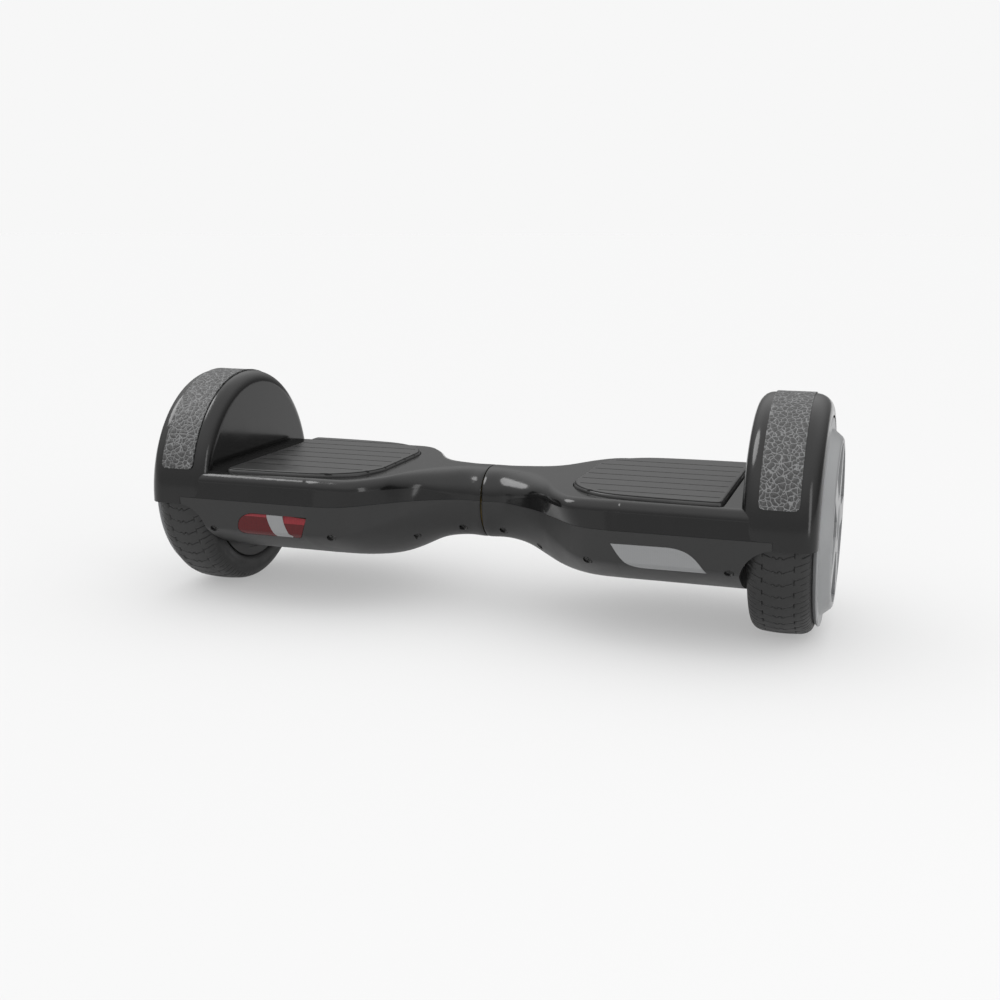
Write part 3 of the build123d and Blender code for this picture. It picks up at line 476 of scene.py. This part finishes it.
def tyre_profile(radius, half_width):
    """Corners of the closed section as (offset from the middle, radius), inner side first."""
    bead, wide = radius - BEAD_DROP, half_width
    wall = np.concatenate([
        np.array([[BEAD_HALF, bead]]),
        bezier([(BEAD_HALF, bead + 4.5), (wide - 0.6, bead + 6), (wide, bead + 8),
                (wide, bead + 14)], 8),
        bezier([(wide, bead + 14), (wide, bead + 21), (wide - 4, radius - 1),
                (wide - CROWN_INSET, radius - CROWN_DROP)], 16)])
    crown_x = np.array(CROWN_X)
    crown_r = radius - CROWN_DROP * (crown_x / (wide - CROWN_INSET)) ** 2
    outer = np.concatenate([wall, np.stack([crown_x, crown_r], 1)])
    inner = outer * [-1, 1]
    middle = np.array([[0.0, radius]])
    return np.concatenate([inner, middle, outer[::-1]])


def groove(distance):
    """Depth share at a distance from a groove's middle line."""
    return np.clip((GROOVE_LIP - np.abs(distance)) / GROOVE_EDGE, 0.0, 1.0)


def zone(x, low, high, soft=0.3):
    """1 between two limits, with a soft change at both."""
    return np.clip((x - low) / soft + 0.5, 0, 1) * np.clip((high - x) / soft + 0.5, 0, 1)


def tread(x, along, pitch):
    """Depth share of the tread at an offset from the middle and a place round the tyre."""
    wide = np.abs(x)

    def near(target):
        return (along - target + pitch / 2) % pitch - pitch / 2

    wave = CENTRE_WAVE * np.sin(x * 2 * math.pi / CENTRE_ZONE)
    depth = groove(near(wave)) * zone(wide, -1.0, CENTRE_ZONE)
    depth = np.maximum(depth, groove(near(0.0)) * zone(wide, CENTRE_ZONE + 0.5, KINK_AT))
    jog = np.clip((GROOVE_STEP / 2 + KINK_OVER - np.abs(near(KINK_MIDDLE))) / GROOVE_EDGE, 0, 1)
    depth = np.maximum(depth, jog * zone(wide, KINK_AT - 0.1, KINK_AT + 0.7))
    outward = groove(near(GROOVE_STEP)) * zone(wide, KINK_AT + 0.5, TREAD_HALF)
    depth = np.maximum(depth, outward)
    half = pitch / 2 + GROOVE_STEP
    return np.maximum(depth, groove(near(half)) * zone(wide, SHOULDER_FROM, TREAD_HALF))


def make_tyre(side):
    """A closed band with real grooves, turned round the CAD tyre's own axis and size."""
    low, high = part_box("tyre_" + side)
    middle_x = (low[0] + high[0]) / 2
    centre_z = (low[2] + high[2]) / 2
    radius = (high[2] - low[2]) / 2 / MM
    half_width = (high[0] - low[0]) / 2 / MM
    profile = tyre_profile(radius, half_width)
    ahead = np.roll(profile, -1, 0) - np.roll(profile, 1, 0)
    normal = np.stack([-ahead[:, 1], ahead[:, 0]], 1)
    normal /= np.maximum(np.linalg.norm(normal, axis=1, keepdims=True), 1e-9)
    pitch = 2 * math.pi * radius / TREAD_PITCHES
    shoulder = pitch / 2 + GROOVE_STEP
    walls = [-GROOVE_LIP, -GROOVE_FOOT, GROOVE_FOOT, GROOVE_LIP]
    lines = np.concatenate([walls, [GROOVE_STEP + w for w in walls], LAND_ROWS,
                            [shoulder + w for w in walls],
                            [shoulder + 1.3, pitch - 1.4, pitch - 0.9]])
    along = np.concatenate([lines + pitch * k for k in range(TREAD_PITCHES)])[:, None]
    x, r = profile[:, 0][None, :], profile[:, 1][None, :]
    tall = np.clip((r - (radius - TREAD_FLOOR)) / TREAD_FADE, 0, 1)
    depth = TREAD_DEPTH * tread(x, along, pitch) * tall
    depth = depth + RIDGE_DEPTH * zone(r, radius - RIDGE_FROM, radius - RIDGE_TO, 0.5)
    sunk_x = x - normal[:, 0][None, :] * depth
    sunk_r = r - normal[:, 1][None, :] * depth
    shear = TREAD_SLOPE * np.clip(np.abs(x), CENTRE_ZONE, TREAD_HALF)
    angle = (along + shear * np.clip((r - SHEAR_FROM_R) / SHEAR_FADE, 0, 1)) / radius
    points = np.stack([middle_x + sunk_x * MM, -sunk_r * MM * np.cos(angle),
                       centre_z + sunk_r * MM * np.sin(angle)], 2)
    count_a, count_b = points.shape[:2]
    index = np.arange(count_a * count_b).reshape(count_a, count_b)
    onward = np.roll(index, -1, 0)
    quads = np.stack([index, onward, np.roll(onward, -1, 1), np.roll(index, -1, 1)], 2)
    mesh = bpy.data.meshes.new("tyre_tread_" + side)
    mesh.from_pydata(points.reshape(-1, 3).tolist(), [], quads.reshape(-1, 4).tolist())
    fix = bmesh.new()
    fix.from_mesh(mesh)
    bmesh.ops.recalc_face_normals(fix, faces=fix.faces)
    fix.to_mesh(mesh)
    fix.free()
    mesh.shade_smooth()
    piece = place("tyre_tread_" + side, mesh)
    mesh.materials.append(MATERIALS["tyre"])
    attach(piece, side + "_wheel")
    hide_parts("tyre_" + side)


for side in SIDES:
    make_tyre(side)


# ---- tail lights: a red cover with a bevelled top and a curved pale band let into it ----
def band_edges(z, low, high):
    """Where the pale band starts and ends across the cover, at a height on it."""
    fall = (high - z) / (high - low)
    slant = fall ** BAND_CURVE
    flick = FLICK * max(0.0, 1 - abs(fall - FLICK_AT) / FLICK_HALF)
    return BAND_IN_X + BAND_IN_LEAN * slant, BAND_OUT_X + BAND_OUT_LEAN * slant + flick


def front_hit(tree, x, z):
    """The point of the CAD cover's front face at a place seen from the front, or None."""
    return tree.ray_cast(Vector((x, RAY_FROM_Y, z)), Vector((0, 1, 0)))[0]


def cover_rows(tree, heights, low, high, part):
    """Front points of one part of the cover, row by row, read from the CAD cover's face."""
    rows = []
    for z in heights:
        scan = np.arange(low[0], high[0], SCAN_STEP)
        seen = [x for x in scan if front_hit(tree, x, z) is not None]
        band_in, band_out = band_edges(z, low[2], high[2])
        start, stop = {"outer": (seen[0], band_in), "band": (band_in, band_out),
                       "inner": (band_out, seen[-1])}[part]
        row = []
        for x in np.linspace(start, stop, COVER_COLUMNS):
            hit = front_hit(tree, x, z)
            row.append(Vector((x, hit.y if hit else row[-1].y, z)))
        rows.append(row)
    return rows


def make_tail_light(side):
    """A cover in three parts over the left CAD cover's face, turned half round for the right."""
    turn = 1 if side == "left" else -1
    cad = frame["nodes"]["tail_light_lens_left"].data
    tree = BVHTree.FromPolygons([v.co for v in cad.vertices], [p.vertices for p in cad.polygons])
    low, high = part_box("tail_light_lens_left")
    bottom, top = low[2] + COVER_TRIM[0], high[2] - COVER_TRIM[1]
    name = "tail_light_cover_" + side
    mesh = bpy.data.meshes.new(name)
    made = bmesh.new()
    for part, edge, sink in (("outer", BEVEL_OUTER_Z, BEVEL_OUTER_SINK), ("band", None, 0.0),
                             ("inner", BEVEL_INNER_Z, BEVEL_INNER_SINK)):
        if edge is None:
            heights = np.linspace(bottom, top, BAND_ROWS)
        else:
            heights = np.concatenate([np.linspace(bottom, edge, FACE_ROWS),
                                      np.linspace(edge, top, BEVEL_ROWS)[1:]])
        front, back = [], []
        for row in cover_rows(tree, heights, low, high, part):
            z = row[0].z
            shift = -BAND_PROUD if edge is None else sink * max(0.0, (z - edge) / (top - edge))
            front.append([made.verts.new((turn * p.x, turn * (p.y + shift), p.z)) for p in row])
            back.append([made.verts.new((turn * p.x, turn * (p.y + COVER_T), p.z)) for p in row])
        for j in range(len(front) - 1):
            for i in range(len(front[0]) - 1):
                face = made.faces.new((front[j][i], front[j][i + 1],
                                       front[j + 1][i + 1], front[j + 1][i]))
                # the bevelled top faces take the lighter red copy: painted light where they face up
                bevelled = edge is not None and heights[j] >= edge - 1e-6
                face.material_index = 1 if edge is None else (2 if bevelled else 0)
                made.faces.new((back[j][i], back[j + 1][i], back[j + 1][i + 1], back[j][i + 1]))
        last_j, last_i = len(front) - 1, len(front[0]) - 1
        rim = [(0, i) for i in range(last_i + 1)] + [(j, last_i) for j in range(1, last_j + 1)]
        rim += [(last_j, i) for i in range(last_i - 1, -1, -1)]
        rim += [(j, 0) for j in range(last_j - 1, 0, -1)]
        for k, (j, i) in enumerate(rim):
            nj, ni = rim[(k + 1) % len(rim)]
            face = made.faces.new((front[j][i], back[j][i], back[nj][ni], front[nj][ni]))
            face.material_index = 1 if edge is None else 0
    bmesh.ops.recalc_face_normals(made, faces=made.faces)
    made.to_mesh(mesh)
    made.free()
    mesh.shade_smooth()
    mesh.set_sharp_from_angle(angle=SHARP_ANGLE)
    # slot 2 is the lighter red for the bevel: painted light
    for slot in ("red_lens", "pale_lens", "red_bevel_painted_light"):
        mesh.materials.append(MATERIALS[slot])
    piece = place(name, mesh)
    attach(piece, side + "_half")
    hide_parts("tail_light_lens_" + side)


for side in SIDES:
    make_tail_light(side)


# ---- camera, floor, light ----
def camera():
    data = bpy.data.cameras.new("camera")
    data.lens = LENS_MM
    made = place("camera", data)
    made.location = CAMERA_AT
    made.rotation_euler = (CAMERA_TARGET - CAMERA_AT).to_track_quat("-Z", "Y").to_euler()
    bpy.context.scene.camera = made


def floor():
    """A pale floor that glows a little, so that it meets the backdrop without a horizon."""
    mesh = bpy.data.meshes.new("floor")
    made = bmesh.new()
    bmesh.ops.create_grid(made, x_segments=2, y_segments=2, size=FLOOR_HALF)
    made.to_mesh(mesh)
    made.free()
    mesh.materials.append(plain("floor", grey(FLOOR_TONE), 0.95, tone=0.002,
                                Emission_Color=grey(1.0), Emission_Strength=FLOOR_GLOW,
                                Specular_IOR_Level=0.0))
    place("floor", mesh)


def lamp(name, kind, towards, strength, **settings):
    data = bpy.data.lights.new(name, kind)
    data.energy = strength
    for key, value in settings.items():
        setattr(data, key, value)
    made = place(name, data)
    made.rotation_euler = Vector(towards).to_track_quat("-Z", "Y").to_euler()
    return made


def sky():
    """The camera sees a flat backdrop; light and reflections come from a soft gradient."""
    world = bpy.data.worlds.new("studio")
    world.use_nodes = True
    tree = world.node_tree
    shown = tree.nodes["Background"]
    shown.inputs["Color"].default_value = (1.0, 1.0, 1.0, 1.0)
    shown.inputs["Strength"].default_value = BACKDROP
    lit = tree.nodes.new("ShaderNodeBackground")
    axes = tree.nodes.new("ShaderNodeSeparateXYZ")
    direction = tree.nodes.new("ShaderNodeTexCoord").outputs["Generated"]
    tree.links.new(direction, axes.inputs[0])
    ramp = tree.nodes.new("ShaderNodeMapRange")
    ramp.interpolation_type = "SMOOTHSTEP"
    ramp.inputs["From Min"].default_value = SKY_FROM
    ramp.inputs["From Max"].default_value = SKY_TO
    ramp.inputs["To Max"].default_value = SKY_HIGH
    tree.links.new(axes.outputs["Z"], ramp.inputs["Value"])
    side = tree.nodes.new("ShaderNodeMapRange")
    side.inputs["From Min"].default_value = -SKY_TURN
    side.inputs["From Max"].default_value = SKY_TURN
    side.inputs["To Min"].default_value = SKY_FRONT
    side.inputs["To Max"].default_value = SKY_LOW
    tree.links.new(axes.outputs["Y"], side.inputs["Value"])
    tree.links.new(side.outputs["Result"], ramp.inputs["To Min"])
    tree.links.new(ramp.outputs["Result"], lit.inputs["Strength"])
    pick = tree.nodes.new("ShaderNodeMixShader")
    seen = tree.nodes.new("ShaderNodeLightPath").outputs["Is Camera Ray"]
    tree.links.new(seen, pick.inputs["Fac"])
    tree.links.new(lit.outputs["Background"], pick.inputs[1])
    tree.links.new(shown.outputs["Background"], pick.inputs[2])
    tree.links.new(pick.outputs["Shader"], tree.nodes["World Output"].inputs["Surface"])
    bpy.context.scene.world = world


bpy.context.scene.view_settings.view_transform = "Standard"
camera()
floor()
sky()
lamp("key", "SUN", KEY_TOWARDS, KEY_STRENGTH, angle=KEY_ANGLE, use_shadow=False)
side_panel = lamp("side_panel", "AREA", PANEL_TOWARDS, PANEL_STRENGTH, shape="RECTANGLE",
                  size=PANEL_SIZE[0], size_y=PANEL_SIZE[1])
side_panel.location = PANEL_AT
